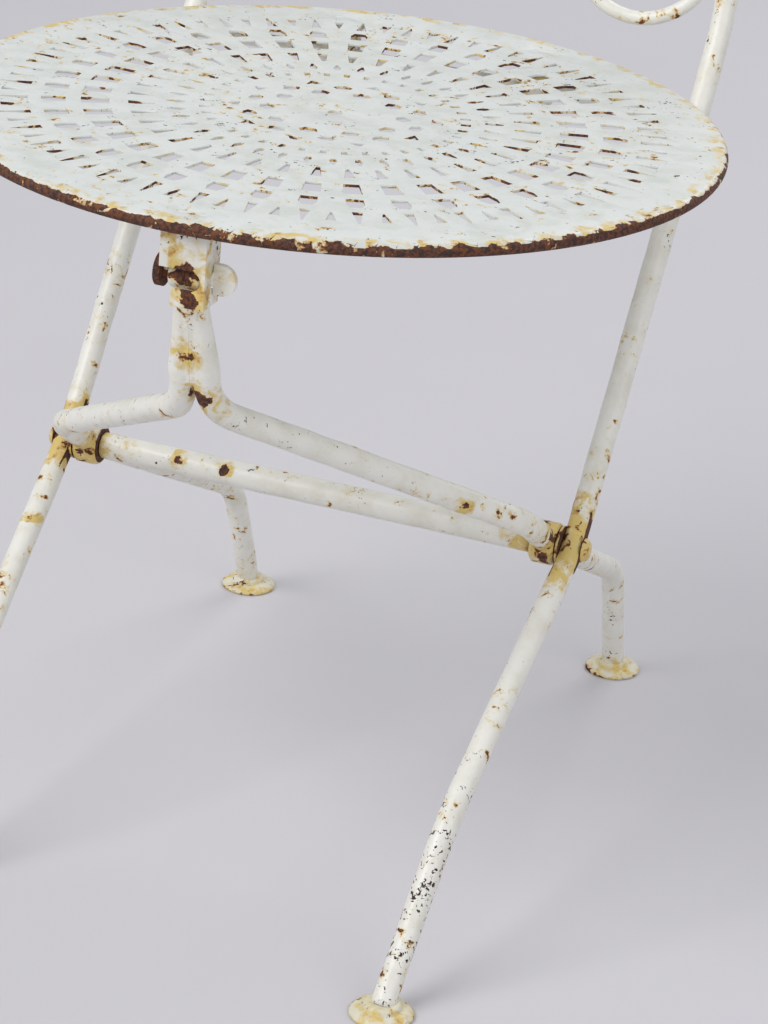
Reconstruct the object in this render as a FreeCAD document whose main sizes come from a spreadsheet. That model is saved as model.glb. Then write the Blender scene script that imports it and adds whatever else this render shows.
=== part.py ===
import FreeCAD, Part
import math
import os

import Sketcher

# Folding garden chair of forged round bar with a pierced round seat.
# Lengths in millimetres, +X to the right seen from the front, +Y to the back, +Z up.
# Inside this file Y is measured from the middle of the seat; every finished piece
# is then moved by frame_shift, so that the origin is under the middle of the chair.

V = FreeCAD.Vector
X_AXIS = V(1, 0, 0)
Z_AXIS = V(0, 0, 1)

# Driving dimensions: alias and value
SIZES = [
    ("seat_diameter", 420),
    ("seat_height", 407),
    ("seat_sheet", 1.5),
    ("rim_roll_diameter", 7.2),
    ("rim_wire_diameter", 3.5),
    ("hole_phase", -2.2),
    ("centre_hole_radius", 4.3),
    ("bar_diameter", 13),
    ("bar_flat_thickness", 11.4),
    ("bar_flat_radius", 13),
    ("front_foot_x", 136),
    ("front_foot_y", -205),
    ("shin_x", 142),
    ("shin_y", -140),
    ("shin_z", 84),
    ("shin_bend", 120),
    ("pivot_y", 12.5),
    ("pivot_z", 182.5),
    ("pivot_bend", 60),
    ("back_half_width", 156),
    ("seat_bend_y", 200.4),
    ("seat_bend_z", 432),
    ("seat_bend_radius", 150),
    ("back_lean", 15),
    ("spring_z", 680),
    ("foot_diameter", 34),
    ("foot_edge", 2.2),
    ("foot_crown", 4.6),
    ("foot_crown_diameter", 23),
    ("crossbar_diameter", 15),
    ("crossbar_half_length", 129.7),
    ("tenon_diameter", 9),
    ("rivet_head_diameter", 14),
    ("rivet_head_height", 3.6),
    ("washer_thickness", 2),
    ("washer_diameter", 22),
    ("side_clearance", 0.3),
    ("turning_clearance", 0.05),
    ("fork_bar_diameter", 14),
    ("fork_eye_diameter", 24),
    ("fork_eye_length", 14.6),
    ("rear_foot_x", 124),
    ("rear_foot_y", 247),
    ("rear_bend_x", 126),
    ("rear_bend_y", 214),
    ("rear_bend_z", 82),
    ("rear_bend_radius", 50),
    ("elbow_x", 138),
    ("elbow_y", -28),
    ("elbow_z", 209),
    ("elbow_radius", 30),
    ("crotch_y", -173),
    ("crotch_z", 299),
    ("crotch_radius", 30),
    ("stem_bar_x", 6.6),
    ("neck_start", 24),
    ("neck_straight", 19),
    ("neck_bar_diameter", 9.2),
    ("head_y", -191.5),
    ("head_z", 375),
    ("head_eye_diameter", 16),
    ("head_pin_diameter", 8),
    ("pin_disc_diameter", 17),
    ("pin_disc_thickness", 3.6),
    ("pin_tab_length", 11.7),
    ("pin_tab_height", 16),
    ("pin_tab_thickness", 3),
    ("bracket_width", 24.6),
    ("bracket_sheet", 2.2),
    ("bracket_front_y", -202.3),
    ("bracket_depth", 18.3),
    ("bracket_bottom_z", 361),
    ("bracket_flange_width", 30),
    ("window_height", 10.4),
    ("window_reach", 9.8),
    ("corner_cut_x", 5.4),
    ("corner_cut_depth", 5),
    ("notch_play", 1.2),
    ("notch_slope", 25),
    ("seat_rod_diameter", 9),
    ("seat_rod_y", 167),
    ("seat_rod_z", 388),
    ("loop_x", 60),
    ("loop_width", 20),
    ("loop_sheet", 3),
    ("loop_flange", 15.4),
    ("rivet_diameter", 5),
    ("small_head_diameter", 8),
    ("small_head_height", 2.2),
    ("bracket_rivet_spacing", 10),
    ("loop_rivet_spacing", 12),
    ("scroll_rod_diameter", 8),
    ("curl_radius", 41),
    ("curl_z", 470),
    ("curl_second_radius", 31),
    ("curl_third_radius", 21),
    ("curl_inner_radius", 12),
    ("curl_straight", 16.1),
    ("waist_rise", 180),
    ("top_curl_radius", 26),
    ("top_curl_second_radius", 17),
    ("top_curl_inner_radius", 10),
    ("weld_gap", 0.1),
    ("collar_height", 9),
    ("collar_wall", 1.6),
    ("collar_spacing", 70),
]

# Rings of holes in the seat: name, copies, angle of the first one in column pitches,
# and the outline as pairs of radius and half width
COLUMNS = 40
PETALS = 10
HOLE_RINGS = [
    ("edge_darts_out", COLUMNS, 0.0, [(163, 2.8), (180, 0.5)]),
    ("edge_darts_in", COLUMNS, 0.5, [(164.5, 0.5), (177.5, 2.8)]),
    ("houses", COLUMNS, 0.0, [(143, 4.4), (151, 4.8), (156, 3.0)]),
    ("squares", COLUMNS, 0.0, [(120, 4.1), (135, 5.0)]),
    ("wedges", COLUMNS, 0.0, [(96, 1.1), (110, 3.0)]),
    ("drops", COLUMNS, 0.5, [(80, 1.2), (83.5, 2.2), (90, 0.6)]),
    ("dashes", COLUMNS, 0.0, [(67, 1.5), (72.5, 1.9)]),
    ("crescents", PETALS, 0.0, [(51.5, 4.6), (57.5, 0.8)]),
    ("lenses", PETALS, 2.0, [(43, 2.6), (46.5, 5.4), (50, 2.6)]),
    ("petals", PETALS, 0.0, [(32.5, 3.0), (36.5, 5.5), (40.5, 2.2)]),
]

document = FreeCAD.newDocument("garden_chair")
sheet = document.addObject("Spreadsheet::Sheet", "Sizes")
for row, (alias, number) in enumerate(SIZES, start=1):
    sheet.set(f"A{row}", alias)
    sheet.set(f"B{row}", str(number))
    sheet.setAlias(f"B{row}", alias)
document.recompute()

size = {alias: float(sheet.get(alias)) for alias, _ in SIZES}
nodes = {}


# Places worked out from the driving dimensions
LEAN = math.radians(size["back_lean"])
BACK_UP = V(0, math.sin(LEAN), math.cos(LEAN))
BACK_FACE = V(0, math.cos(LEAN), -math.sin(LEAN))
EYE_INNER = size["crossbar_half_length"] + size["side_clearance"]
EYE_X = EYE_INNER + size["fork_eye_length"] / 2
WASHER_INNER = EYE_INNER + size["fork_eye_length"] + size["side_clearance"]
FLAT_INNER = WASHER_INNER + size["washer_thickness"]
FLAT_OUTER = FLAT_INNER + size["bar_flat_thickness"]
BAR_PIVOT_X = (FLAT_INNER + FLAT_OUTER) / 2
SEAT_UNDERSIDE = size["seat_height"] - size["seat_sheet"]
RIM_RADIUS = (size["seat_diameter"] - size["rim_roll_diameter"]) / 2
RIM_Z = size["seat_height"] - size["rim_roll_diameter"] / 2
SEAT_BEND = V(size["back_half_width"], size["seat_bend_y"], size["seat_bend_z"])
SPRING_REACH = (size["spring_z"] - size["seat_bend_z"]) / math.cos(LEAN)
SPRING = SEAT_BEND + BACK_UP * SPRING_REACH
CROWN = SPRING + BACK_UP * size["back_half_width"] - X_AXIS * size["back_half_width"]
FRONT_END = size["front_foot_y"] - size["foot_diameter"] / 2
REAR_END = CROWN.y + size["bar_diameter"] / 2
FRAME_SHIFT = -(FRONT_END + REAR_END) / 2

# Cutting tools reach well past the piece that they cut
TOOL_LENGTH = 40
TRIM_DEPTH = 60
WORK_SPACE = 400


def rounded_path(points, radii):
    """Straight runs through the points, joined by tangent arcs of the given radii."""
    edges = []
    start = points[0]
    for corner, after, radius in zip(points[1:-1], points[2:], radii):
        inward = (corner - start).normalize()
        outward = (after - corner).normalize()
        turn = inward.getAngle(outward)
        reach = radius * math.tan(turn / 2)
        first = corner - inward * reach
        last = corner + outward * reach
        to_centre = (outward - inward).normalize()
        middle = corner + to_centre * (radius / math.cos(turn / 2) - radius)
        edges.append(Part.makeLine(start, first))
        edges.append(Part.Arc(first, middle, last).toShape())
        start = last
    edges.append(Part.makeLine(start, points[-1]))
    return Part.Wire(edges)


def rod(name, path, diameter_alias):
    """A round rod swept along a path; its diameter follows the sheet."""
    spine = document.addObject("Part::Feature", name + "_path")
    spine.Shape = path
    section = document.addObject("Part::Circle", name + "_section")
    section.setExpression("Radius", f"Sizes.{diameter_alias} / 2")
    first = path.Edges[0]
    begin = first.valueAt(first.FirstParameter)
    heading = first.tangentAt(first.FirstParameter)
    if begin.distanceToPoint(path.OrderedVertexes[0].Point) > 0.01:
        begin = first.valueAt(first.LastParameter)
        heading = -first.tangentAt(first.LastParameter)
    section.Placement = FreeCAD.Placement(begin, FreeCAD.Rotation(Z_AXIS, heading))
    sweep = document.addObject("Part::Sweep", name)
    sweep.Sections = [section]
    sweep.Spine = (spine, [f"Edge{i + 1}" for i in range(len(path.Edges))])
    sweep.Solid = True
    sweep.Frenet = False
    document.recompute()
    return sweep


def cylinder(name, radius, height, base, direction):
    """A cylinder whose radius and height are expressions on the sheet."""
    tool = document.addObject("Part::Cylinder", name)
    tool.setExpression("Radius", radius)
    tool.setExpression("Height", height)
    tool.Placement = FreeCAD.Placement(base, FreeCAD.Rotation(Z_AXIS, direction))
    return tool


def box(name, low, high):
    """An upright box between two corners."""
    tool = document.addObject("Part::Box", name)
    tool.Length = high.x - low.x
    tool.Width = high.y - low.y
    tool.Height = high.z - low.z
    tool.Placement = FreeCAD.Placement(low, FreeCAD.Rotation())
    return tool


def fuse(name, parts):
    joined = document.addObject("Part::MultiFuse", name)
    joined.Shapes = parts
    joined.Refine = True
    return joined


def cut(name, base, tool):
    result = document.addObject("Part::Cut", name)
    result.Base = base
    result.Tool = tool
    return result


def mirrored(name, source):
    """The left-hand twin of a right-hand piece."""
    twin = document.addObject("Part::Mirroring", name)
    twin.Source = source
    twin.Base = V(0, 0, 0)
    twin.Normal = X_AXIS
    return twin


def shaped(name, shape):
    """A piece whose shape is worked out here from the sheet's values."""
    feature = document.addObject("Part::Feature", name)
    feature.Shape = shape
    return feature


def keep(name, feature):
    """Register a finished piece under its node name."""
    feature.Label = name
    nodes[name] = feature


def keep_pair(name, right):
    keep(name + "_right", right)
    keep(name + "_left", mirrored(name + "_twin", right))


def plane_of(body, role):
    for feature in body.Origin.OriginFeatures:
        if feature.Role == role:
            return feature
    raise ValueError(role)


def new_sketch(body, name, role):
    sketch = body.newObject("Sketcher::SketchObject", name)
    sketch.AttachmentSupport = [(plane_of(body, role), "")]
    sketch.MapMode = "FlatFace"
    return sketch


def polygon(sketch, corners, guesses):
    """A closed outline; each corner's coordinates are expressions on the sheet."""
    count = len(corners)
    for index in range(count):
        here = V(*guesses[index], 0)
        there = V(*guesses[(index + 1) % count], 0)
        sketch.addGeometry(Part.LineSegment(here, there))
    for index in range(count):
        follower = (index + 1) % count
        sketch.addConstraint(Sketcher.Constraint("Coincident", index, 2, follower, 1))
    for index, pair in enumerate(corners):
        for kind, expression, guess in zip(("DistanceX", "DistanceY"), pair, guesses[index]):
            number = sketch.addConstraint(Sketcher.Constraint(kind, -1, 1, index, 1, guess))
            sketch.setExpression(f"Constraints[{number}]", expression)


def revolve(body, sketch, name):
    turned = body.newObject("PartDesign::Revolution", name)
    turned.Profile = sketch
    turned.ReferenceAxis = (sketch, ["V_Axis"])
    turned.Angle = 360
    return turned


def build_seat_pan():
    """Pressed sheet disc, edge rolled under, with its rings of holes."""
    body = document.addObject("PartDesign::Body", "seat_pan")
    roll = size["rim_roll_diameter"] / 2
    top, under = size["seat_height"], SEAT_UNDERSIDE
    plate = new_sketch(body, "plate_profile", "XZ_Plane")
    edge = "(Sizes.seat_diameter - Sizes.rim_roll_diameter) / 2"
    lower = "Sizes.seat_height - Sizes.seat_sheet"
    polygon(
        plate,
        [("0", lower), (edge, lower), (edge, "Sizes.seat_height"), ("0", "Sizes.seat_height")],
        [(0, under), (RIM_RADIUS, under), (RIM_RADIUS, top), (0, top)],
    )
    revolve(body, plate, "plate")

    curl = new_sketch(body, "rolled_edge_profile", "XZ_Plane")
    centre = V(RIM_RADIUS, RIM_Z, 0)
    inner = roll - size["seat_sheet"]
    normal = V(0, 0, 1)
    for radius in (roll, inner):
        circle = Part.Circle(centre, normal, radius)
        curl.addGeometry(Part.ArcOfCircle(circle, math.pi, 2.5 * math.pi))
    curl.addGeometry(Part.LineSegment(centre + V(-roll, 0, 0), centre + V(-inner, 0, 0)))
    curl.addGeometry(Part.LineSegment(centre + V(0, roll, 0), centre + V(0, inner, 0)))
    for link in ((0, 1, 2, 1), (1, 1, 2, 2), (0, 2, 3, 1), (1, 2, 3, 2), (0, 3, 1, 3)):
        curl.addConstraint(Sketcher.Constraint("Coincident", *link))
    curl.addConstraint(Sketcher.Constraint("Horizontal", 2))
    curl.addConstraint(Sketcher.Constraint("Vertical", 3))
    bound = [
        (Sketcher.Constraint("DistanceX", -1, 1, 0, 3, centre.x), edge),
        (
            Sketcher.Constraint("DistanceY", -1, 1, 0, 3, centre.y),
            "Sizes.seat_height - Sizes.rim_roll_diameter / 2",
        ),
        (Sketcher.Constraint("Radius", 0, roll), "Sizes.rim_roll_diameter / 2"),
        (Sketcher.Constraint("Radius", 1, inner), "Sizes.rim_roll_diameter / 2 - Sizes.seat_sheet"),
    ]
    for constraint, expression in bound:
        number = curl.addConstraint(constraint)
        curl.setExpression(f"Constraints[{number}]", expression)
    revolve(body, curl, "rolled_edge")
    document.recompute()

    pitch = 360 / COLUMNS
    first_column = -90 + size["hole_phase"]
    cutters = []
    for name, copies, offset, outline in HOLE_RINGS:
        half = [V(radius, width, 0) for radius, width in outline]
        other = [V(radius, -width, 0) for radius, width in reversed(outline)]
        face = Part.Face(Part.makePolygon(half + other + [half[0]]))
        pierce = face.extrude(Z_AXIS * (size["seat_sheet"] + 2))
        pierce.translate(Z_AXIS * (SEAT_UNDERSIDE - 1))
        for copy in range(copies):
            angle = first_column + offset * pitch + copy * 360 / copies
            cutters.append(pierce.rotated(V(0, 0, 0), Z_AXIS, angle))
    return body, cutters


def build_seat():
    body, cutters = build_seat_pan()
    middle = Part.makeCylinder(
        size["centre_hole_radius"], size["seat_sheet"] + 2, V(0, 0, SEAT_UNDERSIDE - 1), Z_AXIS
    )
    rivet_holes = [
        Part.makeCylinder(size["rivet_diameter"] / 2, size["seat_sheet"] + 2, place, Z_AXIS)
        for place in rivet_places(SEAT_UNDERSIDE - 1)
    ]
    pierced = shaped("seat_holes", Part.makeCompound(cutters + [middle] + rivet_holes))
    keep("seat_pan", cut("seat_pan_pierced", body, pierced))

    wire = document.addObject("Part::Torus", "rim_wire_ring")
    wire.setExpression("Radius1", "(Sizes.seat_diameter - Sizes.rim_roll_diameter) / 2")
    wire.setExpression("Radius2", "Sizes.rim_wire_diameter / 2")
    wire.Placement = FreeCAD.Placement(V(0, 0, RIM_Z), FreeCAD.Rotation())
    keep("rim_wire", wire)


def bracket_rivet_places(level):
    middle = size["bracket_front_y"] + size["bracket_depth"] / 2
    half = size["bracket_rivet_spacing"] / 2
    return [V(side * half, middle, level) for side in (-1, 1)]


def loop_rivet_places(level):
    middle = size["seat_rod_y"] + size["seat_rod_diameter"] / 2 + size["loop_flange"] / 2
    half = size["loop_rivet_spacing"] / 2
    return [
        V(side * size["loop_x"] + step * half, middle, level)
        for side in (-1, 1)
        for step in (-1, 1)
    ]


def rivet_places(level):
    return bracket_rivet_places(level) + loop_rivet_places(level)


def domed_head(base, direction, radius, height):
    """A spherical cap standing on a flat base."""
    ball_radius = (radius**2 + height**2) / (2 * height)
    spread = math.asin(radius / ball_radius) / 2
    halfway = V(
        ball_radius * math.sin(spread), 0, height - ball_radius + ball_radius * math.cos(spread)
    )
    foot, edge, apex = V(0, 0, 0), V(radius, 0, 0), V(0, 0, height)
    outline = [
        Part.makeLine(foot, edge),
        Part.Arc(edge, halfway, apex).toShape(),
        Part.makeLine(apex, foot),
    ]
    cap = Part.Face(Part.Wire(outline)).revolve(foot, Z_AXIS, 360)
    cap.Placement = FreeCAD.Placement(base, FreeCAD.Rotation(Z_AXIS, direction))
    return cap


def rivet(place, grip):
    """A rivet through the seat sheet and a flange under it, flush above and headed below."""
    head = size["small_head_diameter"] / 2
    height = size["small_head_height"]
    shank = Part.makeCylinder(size["rivet_diameter"] / 2, grip, place - Z_AXIS * grip, Z_AXIS)
    lower = domed_head(place - Z_AXIS * grip, -Z_AXIS, head, height)
    return shank.fuse(lower).removeSplitter()


def build_rivets():
    top = size["seat_height"]
    for name, places, sheet_alias in (
        ("bracket_rivets", bracket_rivet_places(top), "bracket_sheet"),
        ("loop_rivets", loop_rivet_places(top), "loop_sheet"),
    ):
        grip = size["seat_sheet"] + size[sheet_alias]
        keep(name, shaped(name + "_set", Part.makeCompound([rivet(p, grip) for p in places])))


def build_foot(name, x_alias, y_alias):
    """Turned foot disc, thin at the edge and crowned where the bar stands on it."""
    body = document.addObject("PartDesign::Body", name + "_disc")
    profile = new_sketch(body, name + "_profile", "XZ_Plane")
    radius, crown = size["foot_diameter"] / 2, size["foot_crown_diameter"] / 2
    polygon(
        profile,
        [
            ("0", "0"),
            ("Sizes.foot_diameter / 2", "0"),
            ("Sizes.foot_diameter / 2", "Sizes.foot_edge"),
            ("Sizes.foot_crown_diameter / 2", "Sizes.foot_crown"),
            ("0", "Sizes.foot_crown"),
        ],
        [
            (0, 0),
            (radius, 0),
            (radius, size["foot_edge"]),
            (crown, size["foot_crown"]),
            (0, size["foot_crown"]),
        ],
    )
    revolve(body, profile, name + "_turned")
    document.recompute()
    shape = body.Shape.copy()
    shape.translate(V(size[x_alias], size[y_alias], 0))
    keep_pair(name, shaped(name + "_placed", shape))


def floor_trim(name):
    """Everything below the top of the foot discs."""
    low = V(-WORK_SPACE, -WORK_SPACE, -TRIM_DEPTH)
    return box(name, low, V(WORK_SPACE, WORK_SPACE, size["foot_crown"]))


def extended(foot, next_point, length):
    """A point past the foot, so that the bar can be cut off level."""
    return foot - (next_point - foot).normalize() * length


PIVOT = V(BAR_PIVOT_X, size["pivot_y"], size["pivot_z"])
BAR_FOOT = V(size["front_foot_x"], size["front_foot_y"], size["foot_crown"])
SHIN = V(size["shin_x"], size["shin_y"], size["shin_z"])
OVERRUN = 15


def build_long_bars():
    """Front leg and back upright in one bar, flattened where the pivot passes."""
    path = rounded_path(
        [extended(BAR_FOOT, SHIN, OVERRUN), SHIN, PIVOT, SEAT_BEND, SPRING],
        [size["shin_bend"], size["pivot_bend"], size["seat_bend_radius"]],
    )
    bar = rod("long_bar_blank", path, "bar_diameter")
    reach = 30
    along_pivot = V(0, size["pivot_y"], size["pivot_z"])
    inner = cylinder(
        "inner_flat", "Sizes.bar_flat_radius", f"{reach}",
        along_pivot + X_AXIS * (FLAT_INNER - reach), X_AXIS,
    )
    outer = cylinder(
        "outer_flat", "Sizes.bar_flat_radius", f"{reach}",
        along_pivot + X_AXIS * FLAT_OUTER, X_AXIS,
    )
    hole = cylinder(
        "tenon_hole", "Sizes.tenon_diameter / 2", f"{reach}",
        along_pivot + X_AXIS * (BAR_PIVOT_X - reach / 2), X_AXIS,
    )
    tools = fuse("long_bar_tools", [inner, outer, hole, floor_trim("front_floor")])
    right = cut("long_bar_shape", bar, tools)
    keep_pair("long_bar", right)
    return bar


def build_crossbar():
    """Shouldered tie bar; its tenons are the fork's axle and are riveted over outside."""
    along_pivot = V(0, size["pivot_y"], size["pivot_z"])
    half = size["crossbar_half_length"]
    body = Part.makeCylinder(
        size["crossbar_diameter"] / 2, 2 * half, along_pivot - X_AXIS * half, X_AXIS
    )
    tenon = Part.makeCylinder(
        size["tenon_diameter"] / 2, 2 * FLAT_OUTER, along_pivot - X_AXIS * FLAT_OUTER, X_AXIS
    )
    heads = [
        domed_head(
            along_pivot + X_AXIS * (side * FLAT_OUTER),
            X_AXIS * side,
            size["rivet_head_diameter"] / 2,
            size["rivet_head_height"],
        )
        for side in (-1, 1)
    ]
    keep("crossbar", shaped("crossbar_forged", body.fuse([tenon] + heads).removeSplitter()))


def build_washers():
    along_pivot = V(WASHER_INNER, size["pivot_y"], size["pivot_z"])
    disc = cylinder(
        "washer_disc", "Sizes.washer_diameter / 2", "Sizes.washer_thickness", along_pivot, X_AXIS
    )
    hole = cylinder(
        "washer_hole", "Sizes.tenon_diameter / 2", "Sizes.washer_thickness", along_pivot, X_AXIS
    )
    keep_pair("pivot_washer", cut("washer_shape", disc, hole))


def build_seat_rod(bar):
    """Straight rod between the uprights; the seat's loops turn on it."""
    reach = size["back_half_width"]
    base = V(-reach, size["seat_rod_y"], size["seat_rod_z"])
    blank = cylinder("seat_rod_blank", "Sizes.seat_rod_diameter / 2", f"{2 * reach}", base, X_AXIS)
    both = fuse("both_bars", [bar, mirrored("bar_twin", bar)])
    keep("seat_rod", cut("seat_rod_shape", blank, both))


def back_point(across, up):
    """A point of the back's leaning plane, up from the bend over the seat."""
    return V(0, SEAT_BEND.y, SEAT_BEND.z) + X_AXIS * across + BACK_UP * up


def build_back_arch():
    path = Part.Wire([Part.Arc(SPRING, CROWN, V(-SPRING.x, SPRING.y, SPRING.z)).toShape()])
    arch = rod("back_arch_bent", path, "bar_diameter")
    keep("back_arch", arch)


def plane_arc(centre, radius, start, end):
    """An arc in the back's plane, from one angle to another in degrees."""
    spots = [
        back_point(
            centre[0] + radius * math.cos(math.radians(angle)),
            centre[1] + radius * math.sin(math.radians(angle)),
        )
        for angle in (start, (start + end) / 2, end)
    ]
    return Part.Arc(*spots).toShape()


def scroll_path():
    """Lyre half: bottom curl, sway to the middle, upright pair and top curl."""
    rod_radius = size["scroll_rod_diameter"] / 2
    outer = size["back_half_width"] - size["bar_diameter"] / 2 - size["weld_gap"] - rod_radius
    level = (size["curl_z"] - size["seat_bend_z"]) / math.cos(LEAN)
    big, second = size["curl_radius"], size["curl_second_radius"]
    third, inner = size["curl_third_radius"], size["curl_inner_radius"]
    left = outer - 2 * big
    right = left + 2 * second
    inmost = right - 2 * third
    edges = [
        plane_arc((inmost + inner, level), inner, 0, 180),
        plane_arc((inmost + third, level), third, -180, 0),
        plane_arc((left + second, level), second, 0, 180),
        plane_arc((left + big, level), big, -180, 0),
    ]
    middle = rod_radius + size["weld_gap"] / 2
    sway_start = level + size["curl_straight"]
    across = outer - middle
    bend = 2 * math.atan2(across, size["waist_rise"])
    sway = size["waist_rise"] / (2 * math.sin(bend))
    turn = math.degrees(bend)
    edges.append(Part.makeLine(back_point(outer, level), back_point(outer, sway_start)))
    edges.append(plane_arc((outer - sway, sway_start), sway, 0, turn))
    sway_end = sway_start + size["waist_rise"]
    edges.append(plane_arc((middle + sway, sway_end), sway, 180 + turn, 180))
    top, top_second = size["top_curl_radius"], size["top_curl_second_radius"]
    top_inner = size["top_curl_inner_radius"]
    arch_inner = size["back_half_width"] - size["bar_diameter"] / 2
    nesting = arch_inner - top - rod_radius - size["weld_gap"]
    top_level = SPRING_REACH + math.sqrt(nesting**2 - (middle + top) ** 2)
    edges.append(Part.makeLine(back_point(middle, sway_end), back_point(middle, top_level)))
    far = middle + 2 * top
    near = far - 2 * top_second
    edges.append(plane_arc((middle + top, top_level), top, 180, 0))
    edges.append(plane_arc((far - top_second, top_level), top_second, 0, -180))
    edges.append(plane_arc((near + top_inner, top_level), top_inner, 180, 0))
    return Part.Wire(edges), outer, level, sway_end, middle


def collar(low, high, rods):
    """A flat band closed around the rods that pass through it."""
    thick = size["bar_diameter"] / 2 + size["collar_wall"]
    corner = back_point(low[0], low[1]) - BACK_FACE * thick
    block = Part.makeBox(high[0] - low[0], 2 * thick, high[1] - low[1])
    turn = FreeCAD.Rotation(X_AXIS, -size["back_lean"])
    block.Placement = FreeCAD.Placement(corner, turn)
    return block.cut(rods)


def build_back_scrolls(bar):
    path, outer, level, sway_end, middle = scroll_path()
    right = rod("back_scroll_bent", path, "scroll_rod_diameter")
    keep_pair("back_scroll", right)
    document.recompute()
    left = nodes["back_scroll_left"]
    rods = [bar.Shape, right.Shape, left.Shape]
    wall = size["collar_wall"]
    half = size["collar_height"] / 2
    rod_radius = size["scroll_rod_diameter"] / 2
    bar_outer = size["back_half_width"] + size["bar_diameter"] / 2
    side = collar(
        (outer - rod_radius - wall, level - half), (bar_outer + wall, level + half), rods
    )
    pieces = [side, side.mirror(V(0, 0, 0), X_AXIS)]
    pair = middle + rod_radius + wall
    for step in (0, 1):
        low = sway_end + step * size["collar_spacing"] + half
        pieces.append(collar((-pair, low), (pair, low + 2 * half), rods))
    keep("scroll_collars", shaped("scroll_collar_set", Part.makeCompound(pieces)))


EYE = V(EYE_X, size["pivot_y"], size["pivot_z"])
HEAD = V(0, size["head_y"], size["head_z"])


def build_fork_bars():
    """Rear leg, pivot eye, arm and stem in one bar; the two bars join at the stem."""
    rear_foot = V(size["rear_foot_x"], size["rear_foot_y"], size["foot_crown"])
    rear_bend = V(size["rear_bend_x"], size["rear_bend_y"], size["rear_bend_z"])
    elbow = V(size["elbow_x"], size["elbow_y"], size["elbow_z"])
    crotch = V(size["stem_bar_x"], size["crotch_y"], size["crotch_z"])
    stem_up = (HEAD - V(0, crotch.y, crotch.z)).normalize()
    neck = crotch + stem_up * size["neck_start"]
    path = rounded_path(
        [extended(rear_foot, rear_bend, OVERRUN), rear_bend, EYE, elbow, crotch, neck],
        [size["rear_bend_radius"], size["pivot_bend"], size["elbow_radius"], size["crotch_radius"]],
    )
    bar = rod("fork_bar_blank", path, "fork_bar_diameter")
    wide, slim = size["fork_bar_diameter"] / 2, size["neck_bar_diameter"] / 2
    neck_top = V(slim, HEAD.y, HEAD.z) - stem_up * size["neck_straight"]
    rings = [
        Part.Wire(Part.makeCircle(wide, neck, stem_up)),
        Part.Wire(Part.makeCircle(slim, neck_top, stem_up)),
    ]
    neck_shape = shaped("fork_neck", Part.makeLoft(rings, True, True))
    shank = cylinder(
        "fork_shank", "Sizes.neck_bar_diameter / 2", "Sizes.neck_straight", neck_top, stem_up
    )
    eye = cylinder(
        "fork_eye", "Sizes.fork_eye_diameter / 2", "Sizes.fork_eye_length",
        EYE - X_AXIS * (size["fork_eye_length"] / 2), X_AXIS,
    )
    head = cylinder(
        "fork_head", "Sizes.head_eye_diameter / 2", "Sizes.neck_bar_diameter", HEAD, X_AXIS
    )
    solid = fuse("fork_bar_solid", [bar, neck_shape, shank, eye, head])
    bore = cylinder(
        "fork_bore", "Sizes.tenon_diameter / 2 + Sizes.turning_clearance",
        str(TOOL_LENGTH), EYE - X_AXIS * (TOOL_LENGTH / 2), X_AXIS,
    )
    pin_hole = cylinder(
        "head_hole", "Sizes.head_pin_diameter / 2", str(TOOL_LENGTH),
        HEAD - X_AXIS * (TOOL_LENGTH / 2), X_AXIS,
    )
    other_side = box("other_side", V(-1, -1, -1) * WORK_SPACE, V(0, 1, 2) * WORK_SPACE)
    tools = fuse("fork_tools", [bore, pin_hole, other_side, floor_trim("rear_floor")])
    keep_pair("fork_bar", cut("fork_bar_shape", solid, tools))


def build_head_pin():
    """Pin through the fork's head: a disc on one end, the other hammered to a tab."""
    cheek = size["bracket_width"] / 2
    start = -cheek - size["side_clearance"] * 2
    shank_end = cheek + size["side_clearance"] * 2
    shank = Part.makeCylinder(
        size["head_pin_diameter"] / 2, shank_end - start, HEAD + X_AXIS * start, X_AXIS
    )
    disc = Part.makeCylinder(
        size["pin_disc_diameter"] / 2,
        size["pin_disc_thickness"],
        HEAD + X_AXIS * (start - size["pin_disc_thickness"]),
        X_AXIS,
    )
    round_radius = size["pin_tab_height"] / 2
    thick = size["pin_tab_thickness"]
    flat = Part.makeBox(
        size["pin_tab_length"] - round_radius,
        thick,
        2 * round_radius,
        HEAD + V(shank_end, -thick / 2, -round_radius),
    )
    tip = Part.makeCylinder(
        round_radius,
        thick,
        HEAD + V(shank_end + size["pin_tab_length"] - round_radius, -thick / 2, 0),
        V(0, 1, 0),
    )
    half_tip = tip.common(
        Part.makeBox(
            round_radius, thick, 2 * round_radius,
            HEAD + V(shank_end + size["pin_tab_length"] - round_radius, -thick / 2, -round_radius),
        )
    )
    pin = shank.fuse([disc, flat, half_tip]).removeSplitter()
    keep("head_pin", shaped("head_pin_forged", pin))


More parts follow.
